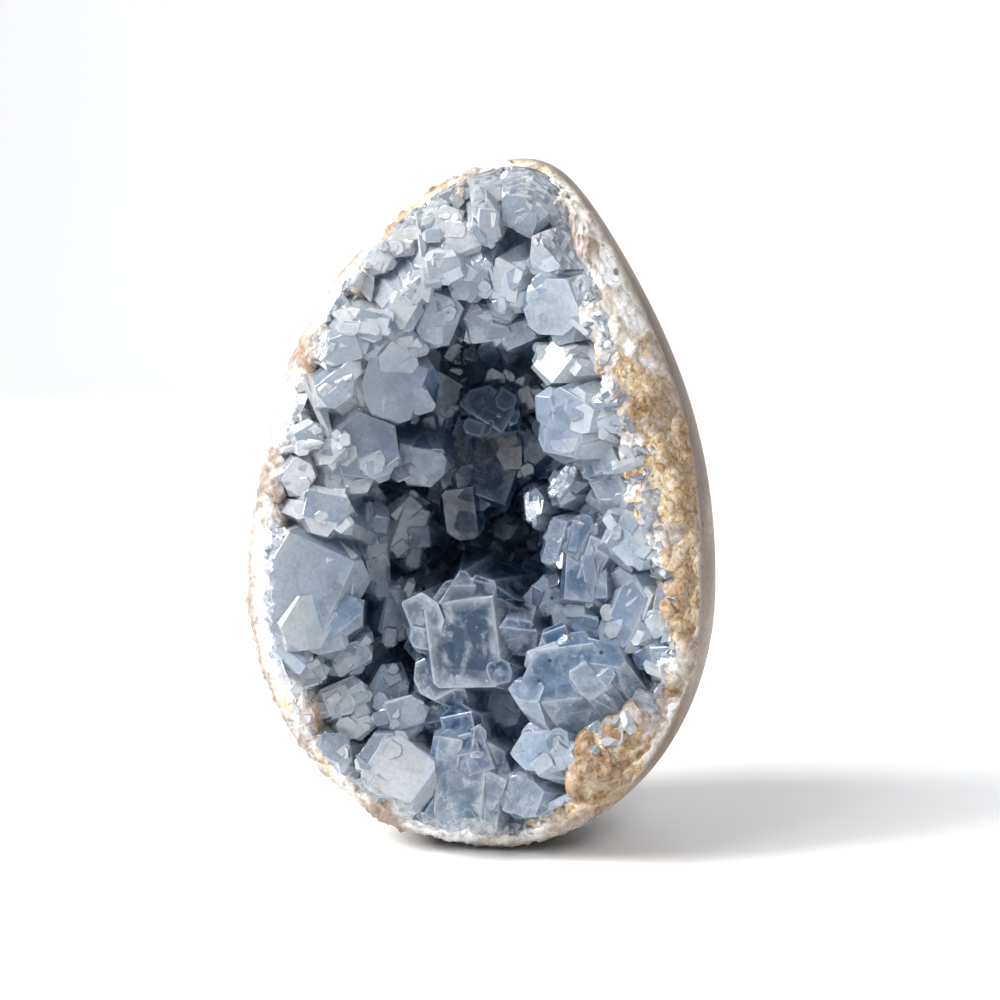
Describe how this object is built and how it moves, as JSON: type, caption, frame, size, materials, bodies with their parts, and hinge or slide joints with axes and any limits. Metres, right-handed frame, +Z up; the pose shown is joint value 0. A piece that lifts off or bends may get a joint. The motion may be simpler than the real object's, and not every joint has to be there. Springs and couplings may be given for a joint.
{
  "type": "celestite geode",
  "caption": "Egg-shaped geode with a polished stone shell, open in front and lined with pale blue celestite crystals, standing on a small flat spot.",
  "frame": {"origin": "centre of the small flat spot that the egg stands on", "axes": "+Z up towards the egg's narrow end, -Y out of the opening, +X to the right of someone looking into it"},
  "size_m": [0.093, 0.0708, 0.1385],
  "materials": {
    "matrix_stone": "polished outside, rough ochre band at the opening",
    "celestite": "clear to milky pale blue crystal with flat glossy faces"
  },
  "bodies": {
    "root": {"geode_shell": "matrix_stone", "crystal_crust": "celestite"}
  },
  "joints": []
}
